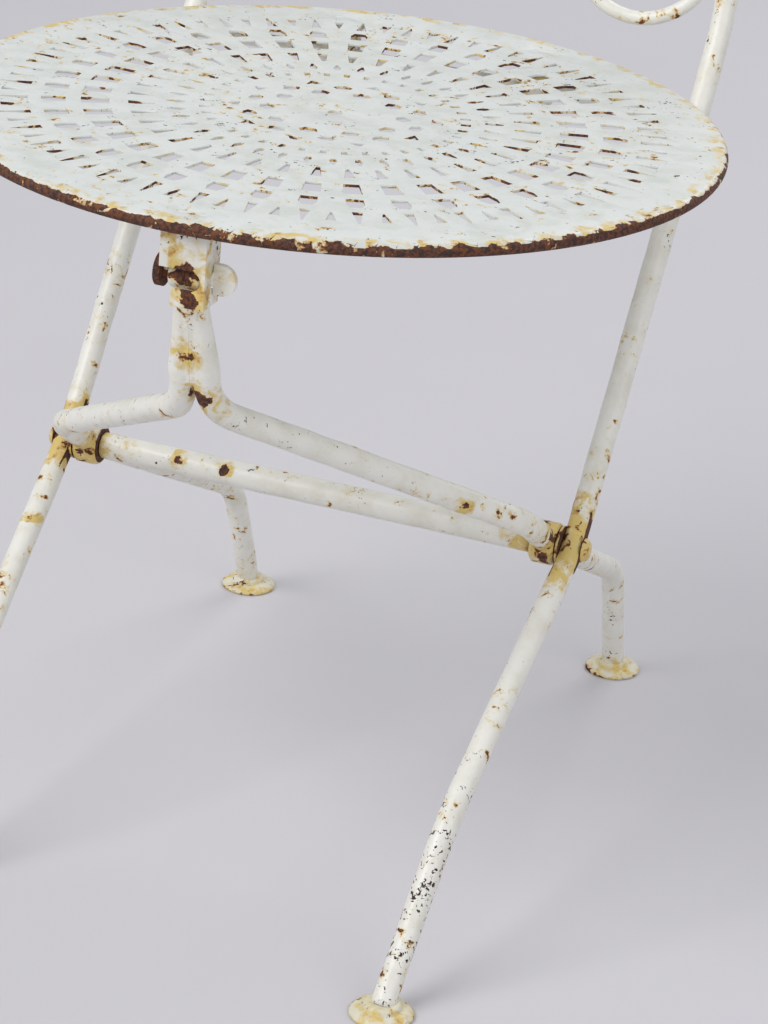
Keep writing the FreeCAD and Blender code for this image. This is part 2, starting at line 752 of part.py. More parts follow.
def build_front_bracket():
    """Folded strap under the front of the seat that drops over the fork's pin."""
    half, wall = size["bracket_width"] / 2, size["bracket_sheet"]
    front, bottom = size["bracket_front_y"], size["bracket_bottom_z"]
    back = front + size["bracket_depth"]
    top = SEAT_UNDERSIDE
    outer = Part.makeBox(2 * half, back - front, top - bottom, V(-half, front, bottom))
    hollow = Part.makeBox(
        2 * (half - wall), back - front, top - wall - bottom, V(-half + wall, front + wall, bottom)
    )
    wide = size["bracket_flange_width"] / 2
    flange = Part.makeBox(2 * wide, back - front, wall, V(-wide, front, top - wall))
    channel = outer.cut(hollow).fuse(flange).removeSplitter()
    tall = size["window_height"] / 2
    run_in = size["window_reach"] - tall
    window = Part.makeBox(
        half + run_in + 1, wall + tall, 2 * tall, V(-half - 1, front - 1, HEAD.z - tall)
    )
    round_end = Part.makeCylinder(tall, wall + tall, V(run_in, front - 1, HEAD.z), V(0, 1, 0))
    corner = Part.makeBox(
        half - size["corner_cut_x"] + 1,
        size["corner_cut_depth"] + 1,
        HEAD.z - bottom + 1,
        V(-half - 1, front - 1, bottom - 1),
    )
    play = (size["head_pin_diameter"] + size["notch_play"]) / 2
    seat_of_pin = Part.makeCylinder(play, 2 * half + 2, HEAD - X_AXIS * (half + 1), X_AXIS)
    notch = Part.makeBox(2 * half + 2, size["bracket_depth"] * 2, 2 * play)
    notch.translate(V(-half - 1, 0, -play))
    notch.rotate(V(0, 0, 0), X_AXIS, -size["notch_slope"])
    notch.translate(HEAD)
    rivet_holes = [
        Part.makeCylinder(size["rivet_diameter"] / 2, 3 * wall, place, Z_AXIS)
        for place in bracket_rivet_places(top - 2 * wall)
    ]
    shape = channel.cut([window, round_end, corner, seat_of_pin, notch] + rivet_holes)
    keep("front_bracket", shaped("front_bracket_folded", shape))


def build_seat_loops():
    """Strap loops riveted under the rear of the seat, turning on the seat rod."""
    sheet_thick = size["loop_sheet"]
    bore = size["seat_rod_diameter"] / 2 + size["turning_clearance"]
    outer = bore + sheet_thick
    axis = V(size["loop_x"] - size["loop_width"] / 2, size["seat_rod_y"], size["seat_rod_z"])
    ring = Part.makeCylinder(outer, size["loop_width"], axis, X_AXIS)
    rise = SEAT_UNDERSIDE - axis.z
    web = Part.makeBox(size["loop_width"], sheet_thick, rise, axis + V(0, bore, 0))
    flange = Part.makeBox(
        size["loop_width"],
        size["loop_flange"],
        sheet_thick,
        V(axis.x, axis.y + bore, SEAT_UNDERSIDE - sheet_thick),
    )
    hole = Part.makeCylinder(bore, size["loop_width"], axis, X_AXIS)
    rivet_holes = [
        Part.makeCylinder(size["rivet_diameter"] / 2, 3 * sheet_thick, place, Z_AXIS)
        for place in loop_rivet_places(SEAT_UNDERSIDE - 2 * sheet_thick)
    ]
    shape = ring.fuse([web, flange]).removeSplitter().cut([hole] + rivet_holes)
    keep_pair("seat_loop", shaped("seat_loop_bent", shape))


def main():
    bar = build_long_bars()
    build_foot("front_foot", "front_foot_x", "front_foot_y")
    build_foot("rear_foot", "rear_foot_x", "rear_foot_y")
    build_crossbar()
    build_washers()
    build_seat_rod(bar)
    build_back_arch()
    build_back_scrolls(bar)
    build_fork_bars()
    build_head_pin()
    build_seat()
    build_front_bracket()
    build_seat_loops()
    build_rivets()
    document.recompute()

    shift = FreeCAD.Placement(V(0, FRAME_SHIFT, 0), FreeCAD.Rotation())
    for item in document.Objects:
        failed = [state for state in item.State if state in ("Invalid", "Error")]
        if failed:
            raise RuntimeError(f"{item.Name} failed: {failed}")
    os.makedirs("parts", exist_ok=True)
    for name, feature in sorted(nodes.items()):
        shape = feature.Shape.copy()
        shape.Placement = shift.multiply(shape.Placement)
        if shape.isNull() or not shape.isValid():
            raise RuntimeError(f"{name} has no valid shape")
        shape.exportStep(f"parts/{name}.step")
        print(f"{name}: {len(shape.Solids)} solids, {shape.Volume / 1000:.2f} cm3")
    print(f"frame shift {FRAME_SHIFT:.2f} mm")


main()
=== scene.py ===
"""Looks of a folding garden chair: forged bar legs, pierced round seat, scrolled back."""

import logging
import math
from dataclasses import dataclass, field
from enum import Enum

import bmesh
import bpy
from mathutils import Matrix, Vector, noise


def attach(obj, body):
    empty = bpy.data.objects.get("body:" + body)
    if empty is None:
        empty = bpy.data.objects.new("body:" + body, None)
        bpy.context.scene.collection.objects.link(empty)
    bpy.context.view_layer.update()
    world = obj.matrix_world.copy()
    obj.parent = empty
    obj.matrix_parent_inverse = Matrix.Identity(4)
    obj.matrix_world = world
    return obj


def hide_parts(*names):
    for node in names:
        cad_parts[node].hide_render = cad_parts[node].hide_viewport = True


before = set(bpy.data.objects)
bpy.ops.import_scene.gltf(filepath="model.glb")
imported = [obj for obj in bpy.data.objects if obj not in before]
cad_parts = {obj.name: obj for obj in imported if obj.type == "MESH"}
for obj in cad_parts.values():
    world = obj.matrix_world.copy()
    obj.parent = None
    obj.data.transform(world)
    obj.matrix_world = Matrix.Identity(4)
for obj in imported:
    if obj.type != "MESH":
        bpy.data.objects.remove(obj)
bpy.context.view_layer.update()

log = logging.getLogger("garden_chair")

MM = 0.001
FRAME_SHIFT = -45.86 * MM
UP = Vector((0.0, 0.0, 1.0))
ACROSS = Vector((1.0, 0.0, 0.0))


def place(across: float, along: float, height: float) -> Vector:
    """A point of the chair from millimetres measured at the middle of the seat.

    Args:
        across: To the right seen from the front.
        along: Towards the back.
        height: Above the floor.

    Returns:
        The point in the row frame, in metres.
    """
    return Vector((across * MM, along * MM + FRAME_SHIFT, height * MM))


class Side(Enum):
    """Which half of the chair a piece belongs to."""

    RIGHT = 1
    LEFT = -1

    @property
    def word(self) -> str:
        """The side as it stands in a node's name."""
        return self.name.lower()


class Body(Enum):
    """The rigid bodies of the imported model."""

    FRAME = "front_frame"
    FORK = "rear_fork"
    SEAT = "seat"


class Slot(Enum):
    """The record's material slots."""

    FRAME = "frame_paint"
    FOOT = "foot_paint"
    SEAT = "seat_paint"
    IRON = "bare_iron"


class Graph:
    """A node tree with short calls for the shader nodes that the finishes use."""

    def __init__(self, tree: bpy.types.NodeTree) -> None:
        """Start on a tree.

        Args:
            tree: The material's or the group's node tree.
        """
        self.tree = tree

    def feed(self, socket: bpy.types.NodeSocket, value: object) -> None:
        """Link a socket to another, or set its value.

        Args:
            socket: The input.
            value: An output socket, a number or a tuple.
        """
        if isinstance(value, bpy.types.NodeSocket):
            self.tree.links.new(value, socket)
        elif value is not None:
            socket.default_value = value

    def node(self, kind: str, inputs: dict, **settings: object) -> bpy.types.Node:
        """Add a node.

        Args:
            kind: Its type's name without the ShaderNode prefix.
            inputs: Input name or number to value or output socket.
            **settings: Properties of the node.

        Returns:
            The node.
        """
        made = self.tree.nodes.new("ShaderNode" + kind)
        for name, value in settings.items():
            setattr(made, name, value)
        for name, value in inputs.items():
            self.feed(made.inputs[name], value)
        return made

    def math(self, work: str, first: object, second: object = None) -> bpy.types.NodeSocket:
        """The result of a Math node, not clamped."""
        return self.node("Math", {0: first, 1: second}, operation=work).outputs[0]

    def noise(self, at: object, scale: float, detail: float = 4.0,
              rough: float = 0.55, warp: float = 0.0) -> bpy.types.NodeSocket:
        """Noise of one size, from 0 to 1 around a half."""
        inputs = {"Vector": at, "Scale": scale, "Detail": detail, "Roughness": rough,
                  "Distortion": warp}
        return self.node("TexNoise", inputs).outputs["Fac"]

    def ramp(self, value: object, low: object, high: object,
             to_low: float = 0.0, to_high: float = 1.0) -> bpy.types.NodeSocket:
        """A smooth step of a value between two limits."""
        inputs = {"Value": value, "From Min": low, "From Max": high, "To Min": to_low,
                  "To Max": to_high}
        made = self.node("MapRange", inputs, interpolation_type="SMOOTHSTEP")
        return made.outputs["Result"]

    def mix(self, factor: object, first: object, second: object) -> bpy.types.NodeSocket:
        """Two colours mixed."""
        made = self.node("Mix", {}, data_type="RGBA")
        self.feed(made.inputs[0], factor)
        self.feed(made.inputs[6], first)
        self.feed(made.inputs[7], second)
        return made.outputs[2]


def new_group(name: str, inputs: dict, outputs: dict) -> tuple:
    """An empty shader node group with named sockets.

    Args:
        name: The group's name.
        inputs: Socket name to kind, Float, Color or Vector.
        outputs: The same for the outputs.

    Returns:
        The group, its graph, its input node and its output node.
    """
    group = bpy.data.node_groups.new(name, "ShaderNodeTree")
    for way, sockets in (("INPUT", inputs), ("OUTPUT", outputs)):
        for label, kind in sockets.items():
            group.interface.new_socket(label, in_out=way, socket_type="NodeSocket" + kind)
    return (group, Graph(group), group.nodes.new("NodeGroupInput"),
            group.nodes.new("NodeGroupOutput"))


def worn_paint_group() -> bpy.types.NodeTree:
    """Brushed paint with ochre stains round rusty spots, and small dark flecks.

    Returns:
        The node group, with a colour, a roughness and a height.
    """
    group, graph, given, result = new_group(
        "worn_paint",
        {"Vector": "Vector", "Paint": "Color", "Shade": "Color", "Yellow": "Color",
         "Orange": "Color", "Rust": "Color", "Dark": "Color", "Spots": "Float",
         "Flecks": "Float", "WearAndSeamShade": "Float", "Stain": "Float", "Gloss": "Float"},
        {"Color": "Color", "Roughness": "Float", "Height": "Float"},
    )
    take = given.outputs
    at = take["Vector"]
    coarse = graph.noise(at, 26.0, 3.0, 0.6, 0.4)
    middle = graph.noise(at, 150.0, 3.0, 0.6, 0.5)
    fine = graph.noise(at, 520.0, 4.0, 0.6, 0.2)
    grouped = graph.math("MULTIPLY", graph.math("SUBTRACT", coarse, 0.5), 0.62)
    jagged = graph.math("MULTIPLY", graph.math("SUBTRACT", fine, 0.5), 0.26)
    spot = graph.math("ADD", middle, graph.math("ADD", grouped, jagged))
    edge = graph.math("SUBTRACT", 0.86, graph.math("MULTIPLY", take["Spots"], 0.16))
    # The worn-paint input also carries the painted shadow lines of the pivot seams, which turn
    # rust-dark here.
    edge = graph.math("SUBTRACT", edge, graph.math("MULTIPLY", take["WearAndSeamShade"], 0.62))
    core = graph.ramp(spot, edge, graph.math("ADD", edge, 0.02))
    tight = graph.ramp(spot, graph.math("SUBTRACT", edge, 0.055), edge)
    wide = graph.ramp(spot, graph.math("SUBTRACT", edge, 0.15), edge)
    soaked = graph.ramp(graph.noise(at, 90.0, 5.0, 0.62, 0.6), 0.66, 0.34)
    soaked = graph.ramp(graph.math("SUBTRACT", take["Stain"], soaked), -0.42, 0.42)
    soaked = graph.math("MULTIPLY", soaked, graph.ramp(take["Stain"], 0.0, 0.12))
    brushed = graph.mix(graph.ramp(graph.noise(at, 60.0, 5.0, 0.6, 0.3), 0.40, 0.72),
                        take["Paint"], take["Shade"])
    yellow = graph.math("MAXIMUM", graph.math("MULTIPLY", wide, 0.62),
                        graph.math("MULTIPLY", soaked, 0.88))
    painted = graph.mix(yellow, brushed, take["Yellow"])
    deep = graph.math("MULTIPLY", soaked, graph.ramp(middle, 0.52, 0.68))
    orange = graph.math("MAXIMUM", graph.math("MULTIPLY", tight, 0.85),
                        graph.math("MULTIPLY", deep, 0.8))
    painted = graph.mix(orange, painted, take["Orange"])
    rusty = graph.mix(graph.ramp(fine, 0.40, 0.62), take["Dark"], take["Rust"])
    painted = graph.mix(core, painted, rusty)
    dots = graph.noise(at, 470.0, 3.0, 0.55, 0.6)
    crowd = graph.math("MULTIPLY", graph.math("SUBTRACT", graph.noise(at, 75.0, 3.0), 0.5), 0.60)
    limit = graph.math("SUBTRACT", 0.775, graph.math("MULTIPLY", take["Flecks"], 0.17))
    fleck = graph.ramp(graph.math("ADD", dots, crowd), limit, graph.math("ADD", limit, 0.03))
    graph.feed(result.inputs["Color"], graph.mix(fleck, painted, take["Dark"]))
    bare = graph.math("MAXIMUM", core, fleck)
    rough = graph.math("ADD", take["Gloss"], graph.math("MULTIPLY", coarse, 0.16))
    rough = graph.math("ADD", rough, graph.math("MULTIPLY", soaked, 0.10))
    graph.feed(result.inputs["Roughness"],
               graph.math("ADD", rough, graph.math("MULTIPLY", bare, 0.38)))
    lumps = graph.math("MULTIPLY", graph.noise(at, 170.0, 4.0, 0.55, 0.2), 1.2)
    height = graph.math("SUBTRACT", lumps, graph.math("MULTIPLY", bare, 0.8))
    grain = graph.math("MULTIPLY", graph.math("MULTIPLY", fine, core), 0.9)
    graph.feed(result.inputs["Height"], graph.math("ADD", height, grain))
    return group


# Rusty places that the photograph shows: where, how wide, how bare
SCARS = (
    ((-154, 48.5, 220.6), 5.0, 0.55),
    ((3, -203, 378), 9.0, 0.75),
    ((4, -203, 366), 7.5, 0.62),
    ((135, -5, 193), 8.5, 1.0),
    ((-3, -186, 330), 7.0, 0.42),
    ((4, -180, 306), 8.0, 0.80),
    ((-80, 5.6, 186), 5.0, 0.60),
    ((-52, 5.6, 186), 4.5, 0.85),
    ((12, -170, 297), 6.0, 0.85),
    ((109, -64, 229), 5.5, 0.90),
    ((149, -96, 136), 4.5, 0.85),
    ((-149, -41, 152), 5.0, 0.80),
    ((156, 172, 446), 11.0, 0.85),
    ((156, 192, 462), 9.0, 0.80),
)


def worn_spots_group() -> bpy.types.NodeTree:
    """Where paint has gone or is stained: feet, pivots, legs and the seat's rim, with painted
    shadow lines in the seams by the pivots.

    Returns:
        The node group, with masks of worn paint (holding the painted seam shadows too), stain
        and flecks.
    """
    group, graph, given, result = new_group(
        "worn_spots",
        {"Vector": "Vector", "Feet": "Float", "Pivots": "Float", "Legs": "Float",
         "Rim": "Float", "Level": "Float"},
        {"WearAndSeamShade": "Float", "Stain": "Float", "Flecks": "Float"},
    )
    take = given.outputs
    at = take["Vector"]
    split = graph.node("SeparateXYZ", {0: at}).outputs
    uneven = graph.math("SUBTRACT", graph.noise(at, 80.0, 4.0, 0.6, 0.4), 0.5)
    across = graph.math("ABSOLUTE", split["X"])
    folded = graph.node("CombineXYZ", {0: across, 1: split["Y"], 2: split["Z"]}).outputs[0]
    pivot = graph.node("VectorMath", {0: folded, 1: tuple(place(145, 12.5, 182.5))},
                       operation="DISTANCE").outputs["Value"]
    pivot = graph.math("ADD", pivot, graph.math("MULTIPLY", uneven, 0.02))
    stain = graph.math("MULTIPLY", graph.ramp(pivot, 0.040, 0.014), take["Pivots"])
    wear_and_seam_shade = graph.math("MULTIPLY", graph.ramp(pivot, 0.026, 0.010), take["Pivots"])
    wear_and_seam_shade = graph.math("MULTIPLY", wear_and_seam_shade, 0.30)
    near_pivot = graph.math("LESS_THAN", pivot, 0.024)
    # Painted shadow: thin dark lines where the tie bar, the eye, the washer and the bar meet by
    # the pivot stand in for the shade in these joints. They join the worn-paint mask, so they
    # come out in the rust and dark colours.
    for seam in (129.85, 144.7, 146.8, 158.4):
        off = graph.math("ABSOLUTE", graph.math("SUBTRACT", across, seam * MM))
        seam_shadow_line = graph.math("MULTIPLY", graph.ramp(off, 0.00060, 0.00010), near_pivot)
        wear_and_seam_shade = graph.math("MAXIMUM", wear_and_seam_shade, graph.math("MULTIPLY", seam_shadow_line, take["Pivots"]))
    foot = graph.ramp(graph.math("ADD", split["Z"], graph.math("MULTIPLY", uneven, 0.012)),
                      0.016, 0.001)
    stain = graph.math("MAXIMUM", stain, graph.math("MULTIPLY", foot, take["Feet"]))
    thin = graph.ramp(split["Z"], 0.0026, 0.0014)
    wear_and_seam_shade = graph.math("MAXIMUM", wear_and_seam_shade, graph.math(
        "MULTIPLY", graph.math("MULTIPLY", thin, take["Feet"]), 0.5))
    low = graph.math("MULTIPLY", graph.ramp(split["Z"], 0.165, 0.060),
                     graph.ramp(split["Y"], -0.105, -0.140))
    flecks = graph.math("MULTIPLY", low, take["Legs"])
    for spot, radius, depth in SCARS:
        gap = graph.node("VectorMath", {0: at, 1: tuple(place(*spot))},
                         operation="DISTANCE").outputs["Value"]
        gap = graph.math("ADD", gap, graph.math("MULTIPLY", uneven, radius * 2.4 * MM))
        mark = graph.math("MULTIPLY", graph.ramp(gap, radius * MM, radius * 0.25 * MM),
                          take["Legs"])
        wear_and_seam_shade = graph.math("MAXIMUM", wear_and_seam_shade, graph.math("MULTIPLY", mark, depth))
        halo = graph.ramp(gap, radius * 1.7 * MM, radius * 0.7 * MM)
        stain = graph.math("MAXIMUM", stain, graph.math(
            "MULTIPLY", graph.math("MULTIPLY", halo, 0.75), take["Legs"]))
    flat = graph.node("VectorMath", {0: at, 1: (1.0, 1.0, 0.0)}, operation="MULTIPLY")
    reach = graph.node("VectorMath", {0: flat.outputs[0], 1: (0.0, FRAME_SHIFT, 0.0)},
                       operation="DISTANCE").outputs["Value"]
    ragged = graph.math("ADD", reach, graph.math("MULTIPLY", uneven, 0.012))
    facing = graph.ramp(graph.math("ADD", take["Level"], graph.math("MULTIPLY", uneven, 1.1)),
                        0.98, 0.62)
    front = graph.ramp(split["Y"], 0.06, -0.03, 0.25, 1.0)
    rolled = graph.math("MULTIPLY", graph.ramp(ragged, 0.2020, 0.2055), facing)
    rolled = graph.math("MULTIPLY", graph.math("MULTIPLY", rolled, front), take["Rim"])
    wear_and_seam_shade = graph.math("MAXIMUM", wear_and_seam_shade, rolled)
    lip = graph.math("MULTIPLY", graph.ramp(ragged, 0.1990, 0.2060, 0.0, 0.62), take["Rim"])
    stain = graph.math("MAXIMUM", stain, lip)
    graph.feed(result.inputs["WearAndSeamShade"], wear_and_seam_shade)
    graph.feed(result.inputs["Stain"], stain)
    graph.feed(result.inputs["Flecks"], flecks)
    return group


@dataclass(frozen=True)
class PaintFinish:
    """Old paint on iron, as one of the chair's pieces wears it."""

    name: str
    paint: tuple = (0.780, 0.765, 0.700, 1.0)
    shade: tuple = (0.700, 0.675, 0.585, 1.0)
    yellow: tuple = (0.640, 0.455, 0.090, 1.0)
    orange: tuple = (0.400, 0.165, 0.022, 1.0)
    rust: tuple = (0.150, 0.045, 0.012, 1.0)
    dark: tuple = (0.036, 0.016, 0.014, 1.0)
    spots: float = 0.85
    flecks: float = 0.35
    stain: float = 0.0
    gloss: float = 0.30
    feet: float = 0.0
    pivots: float = 0.0
    legs: float = 0.0
    rim: float = 0.0
    relief: float = 0.00040
    bare_edges: float = 0.0
    bare_left: float = 0.0

    def material(self, groups: dict) -> bpy.types.Material:
        """Build the finish as a node material.

        Args:
            groups: The shared node groups by name.

        Returns:
            The material.
        """
        made = bpy.data.materials.new(self.name)
        made.use_nodes = True
        tree = made.node_tree
        tree.nodes.clear()
        graph = Graph(tree)
        at = graph.node("TexCoord", {}).outputs["Object"]
        normal = graph.node("NewGeometry", {}).outputs["Normal"]
        level = graph.node("SeparateXYZ", {0: normal}).outputs["Z"]
        spots = graph.node("Group", {}, node_tree=groups["worn_spots"])
        for label, value in (("Vector", at), ("Feet", self.feet), ("Pivots", self.pivots),
                             ("Legs", self.legs), ("Rim", self.rim), ("Level", level)):
            graph.feed(spots.inputs[label], value)
        # The worn-paint mask also holds the painted shadow lines of the pivot seams.
        wear_and_seam_shade, stain = spots.outputs["WearAndSeamShade"], spots.outputs["Stain"]
        if self.bare_edges:
            steep = graph.ramp(graph.math("ABSOLUTE", level), 0.75, 0.25)
            patch = graph.ramp(graph.noise(at, 45.0, 3.0), 0.42, 0.62)
            walls = graph.math("MULTIPLY", graph.math("MULTIPLY", steep, patch),
                               self.bare_edges)
            wear_and_seam_shade = graph.math("MAXIMUM", wear_and_seam_shade, walls)
            stain = graph.math("MAXIMUM", stain, walls)
        if self.bare_left:
            left = graph.node("SeparateXYZ", {0: at}).outputs["X"]
            left = graph.math("MULTIPLY", graph.ramp(left, 0.004, -0.008), self.bare_left)
            wear_and_seam_shade = graph.math("MAXIMUM", wear_and_seam_shade, left)
        coat = graph.node("Group", {}, node_tree=groups["worn_paint"])
        for label, value in (
            ("Vector", at), ("Paint", self.paint), ("Shade", self.shade),
            ("Yellow", self.yellow), ("Orange", self.orange), ("Rust", self.rust),
            ("Dark", self.dark), ("Spots", self.spots), ("WearAndSeamShade", wear_and_seam_shade),
            ("Flecks", graph.math("MAXIMUM", spots.outputs["Flecks"], self.flecks)),
            ("Stain", graph.math("MAXIMUM", stain, self.stain)), ("Gloss", self.gloss),
        ):
            graph.feed(coat.inputs[label], value)
        bump = graph.node("Bump", {"Height": coat.outputs["Height"], "Strength": 0.8,
                                   "Distance": self.relief})
        shader = graph.node("BsdfPrincipled", {
            "Base Color": coat.outputs["Color"], "Roughness": coat.outputs["Roughness"],
            "Normal": bump.outputs["Normal"], "Specular IOR Level": 0.5,
        })
        out = graph.node("OutputMaterial", {})
        graph.feed(out.inputs["Surface"], shader.outputs["BSDF"])
        return made


class Finishes:
    """The chair's materials, made once and handed out by slot."""

    def __init__(self) -> None:
        """Build the node groups and every finish."""
        groups = {"worn_paint": worn_paint_group(), "worn_spots": worn_spots_group()}
        seat_paint = (0.655, 0.675, 0.645, 1.0)
        seat_shade = (0.580, 0.600, 0.555, 1.0)
        self.by_name = {
            finish.name: finish.material(groups)
            for finish in (
                PaintFinish("frame_bars", feet=0.45, pivots=1.0, legs=1.0),
                PaintFinish("back_bars", spots=0.80, legs=1.0),
                PaintFinish("foot_discs", paint=(0.66, 0.62, 0.47, 1.0), spots=0.7,
                            flecks=0.5, stain=0.26, feet=0.5, gloss=0.45),
                PaintFinish("seat_sheet", paint=seat_paint, shade=seat_shade, spots=0.72,
                            flecks=0.34, rim=0.66, bare_edges=0.50, gloss=0.26),
                PaintFinish("seat_fittings", spots=0.9, stain=0.44, flecks=0.4, legs=1.0),
                PaintFinish("pivot_washers", spots=0.9, stain=0.80, pivots=1.0),
                PaintFinish("rusty_iron", spots=3.2, stain=0.9, gloss=0.5),
                PaintFinish("pin_ends", spots=0.5, stain=0.12, bare_left=0.95, gloss=0.4),
            )
        }

    def put(self, piece: bpy.types.Object, name: str) -> None:
        """Dress a piece in one finish.

        Args:
            piece: The mesh object.
            name: The finish.
        """
        piece.data.materials.clear()
        piece.data.materials.append(self.by_name[name])


class Shop:
    """Turns a bmesh into a finished piece on its body."""

    def __init__(self, finishes: Finishes) -> None:
        """Keep the finishes.

        Args:
            finishes: The materials.
        """
        self.finishes = finishes

    def finish(self, bm: bmesh.types.BMesh, name: str, body: Body, slot: Slot,
               look: str, *nodes: str) -> bpy.types.Object:
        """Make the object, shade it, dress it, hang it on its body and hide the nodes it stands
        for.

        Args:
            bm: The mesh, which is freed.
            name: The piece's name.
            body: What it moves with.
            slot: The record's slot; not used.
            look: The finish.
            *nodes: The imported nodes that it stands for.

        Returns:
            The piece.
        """
        mesh = bpy.data.meshes.new(name)
        bm.to_mesh(mesh)
        bm.free()
        mesh.shade_smooth()
        piece = bpy.data.objects.new(name, mesh)
        bpy.context.scene.collection.objects.link(piece)
        self.finishes.put(piece, look)
        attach(piece, body.value)
        if nodes:
            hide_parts(*nodes)
        log.info("%s: %d faces on %s", name, len(mesh.polygons), body.value)
        return piece


def mirrored(bm: bmesh.types.BMesh) -> bmesh.types.BMesh:
    """A copy of a mesh on the other side of the chair, facing outwards.

    Args:
        bm: The right-hand mesh.

    Returns:
        The left-hand mesh.
    """
    twin = bm.copy()
    bmesh.ops.scale(twin, vec=(-1.0, 1.0, 1.0), verts=twin.verts)
    bmesh.ops.reverse_faces(twin, faces=twin.faces)
    return twin


def hammered(bm: bmesh.types.BMesh, depth: float, size: float, seed: float) -> None:
    """Give a surface the unevenness of hand-forged bar under thick paint.

    Args:
        bm: The mesh, with even, fine faces.
        depth: How far a point may move, in metres.
        size: The width of a dent, in metres.
        seed: Where in the noise the piece lies.
    """
    bm.normal_update()
    shift = Vector((seed, seed * 0.7, -seed))
    moved = []
    for vert in bm.verts:
        broad = noise.noise(vert.co / size + shift)
        close = noise.noise(vert.co / (size * 0.35) + shift) * 0.35
        moved.append(vert.co + vert.normal * (depth * (broad + close)))
    for vert, spot in zip(bm.verts, moved):
        vert.co = spot


@dataclass
class Bar:
    """A round bar that is extruded along runs and spun round bends."""

    radius: float
    sides: int = 36
    step: float = 0.003

    def start(self, bm: bmesh.types.BMesh, spot: Vector, heading: Vector) -> list:
        """Lay the first ring of the bar.

        Args:
            bm: The mesh.
            spot: Its centre.
            heading: The bar's direction there.

        Returns:
            The ring's edges.
        """
        ring = bmesh.ops.create_circle(bm, cap_ends=False, radius=self.radius,
                                       segments=self.sides)["verts"]
        turn = UP.rotation_difference(heading).to_matrix().to_4x4()
        bmesh.ops.transform(bm, matrix=Matrix.Translation(spot) @ turn, verts=ring)
        return list({edge for vert in ring for edge in vert.link_edges})

    def run(self, bm: bmesh.types.BMesh, edges: list, way: Vector) -> list:
        """Draw the bar out straight.

        Args:
            bm: The mesh.
            edges: The open ring.
            way: How far and in which direction.

        Returns:
            The new open ring.
        """
        count = max(1, round(way.length / self.step))
        for _ in range(count):
            drawn = bmesh.ops.extrude_edge_only(bm, edges=edges)["geom"]
            verts = [item for item in drawn if isinstance(item, bmesh.types.BMVert)]
            bmesh.ops.translate(bm, vec=way / count, verts=verts)
            edges = [
                item for item in drawn
                if isinstance(item, bmesh.types.BMEdge)
                and item.verts[0] in verts and item.verts[1] in verts
            ]
        return edges

    def bend(self, bm: bmesh.types.BMesh, edges: list, centre: Vector, axis: Vector,
             turn: float, radius: float) -> list:
        """Bend the bar round a centre.

        Args:
            bm: The mesh.
            edges: The open ring.
            centre: The bend's centre.
            axis: What it turns about.
            turn: The angle.
            radius: The bend's radius.

        Returns:
            The new open ring.
        """
        count = max(2, round(turn * radius / self.step))
        verts = list({vert for edge in edges for vert in edge.verts})
        spun = bmesh.ops.spin(bm, geom=edges + verts, cent=centre, axis=axis, angle=turn,
                              dvec=(0.0, 0.0, 0.0), steps=count, use_merge=False,
                              use_duplicate=False)["geom_last"]
        return [item for item in spun if isinstance(item, bmesh.types.BMEdge)]

    def close(self, bm: bmesh.types.BMesh) -> None:
        """Cap the open ends and turn the faces outwards.

        Args:
            bm: The mesh.
        """
        rims = [edge for edge in bm.edges if edge.is_boundary]
        bmesh.ops.holes_fill(bm, edges=rims, sides=0)
        bmesh.ops.recalc_face_normals(bm, faces=bm.faces)

    def through(self, bm: bmesh.types.BMesh, spots: list, bends: list) -> None:
        """Draw the bar through points, with a bend of its own radius at each.

        Args:
            bm: The mesh.
            spots: The points, both ends included.
            bends: The radii at the points between.
        """
        edges = self.start(bm, spots[0], (spots[1] - spots[0]).normalized())
        here = spots[0]
        for corner, after, radius in zip(spots[1:-1], spots[2:], bends):
            inward = (corner - here).normalized()
            outward = (after - corner).normalized()
            turn = inward.angle(outward)
            reach = radius * math.tan(turn / 2)
            edges = self.run(bm, edges, corner - inward * reach - here)
            axis = inward.cross(outward).normalized()
            centre = corner - inward * reach + axis.cross(inward) * radius
            edges = self.bend(bm, edges, centre, axis, turn, radius)
            here = corner + outward * reach
        self.run(bm, edges, spots[-1] - here)
        self.close(bm)


def turned(outline: list, spot: Vector, axis: Vector, steps: int = 48) -> bmesh.types.BMesh:
    """A piece turned on a lathe.

    Args:
        outline: Pairs of radius and height, from the axis round to the axis.
        spot: Where height is zero.
        axis: The lathe's axis.
        steps: How many faces go round.

    Returns:
        The mesh.
    """
    bm = bmesh.new()
    verts = [bm.verts.new((radius, 0.0, height)) for radius, height in outline]
    edges = [bm.edges.new(pair) for pair in zip(verts[:-1], verts[1:])]
    bmesh.ops.spin(bm, geom=verts + edges, cent=(0.0, 0.0, 0.0), axis=UP, angle=2 * math.pi,
                   dvec=(0.0, 0.0, 0.0), steps=steps, use_merge=True, use_duplicate=False)
    bmesh.ops.remove_doubles(bm, verts=bm.verts, dist=1e-6)
    bmesh.ops.recalc_face_normals(bm, faces=bm.faces)
    turn = UP.rotation_difference(axis).to_matrix().to_4x4()
    bmesh.ops.transform(bm, matrix=Matrix.Translation(spot) @ turn, verts=bm.verts)
    return bm


def arc_outline(start: tuple, end: tuple, bulge: float, count: int) -> list:
    """Points on a shallow arc between two points of an outline, both ends included.

    Args:
        start: First pair.
        end: Last pair.
        bulge: Height of the arc over its chord.
        count: How many spans.

    Returns:
        The pairs.
    """
    first, last = Vector(start), Vector(end)
    chord = last - first
    out = Vector((chord.y, -chord.x)).normalized()
    return [
        tuple(first + chord * (k / count) + out * (bulge * math.sin(math.pi * k / count)))
        for k in range(count + 1)
    ]


def joined(*meshes: bmesh.types.BMesh) -> bmesh.types.BMesh:
    """Several meshes in one.

    Args:
        *meshes: The meshes, which are freed.

    Returns:
        The one mesh.
    """
    whole = bmesh.new()
    for bm in meshes:
        loose = bpy.data.meshes.new("loose")
        bm.to_mesh(loose)
        bm.free()
        whole.from_mesh(loose)
        bpy.data.meshes.remove(loose)
    return whole


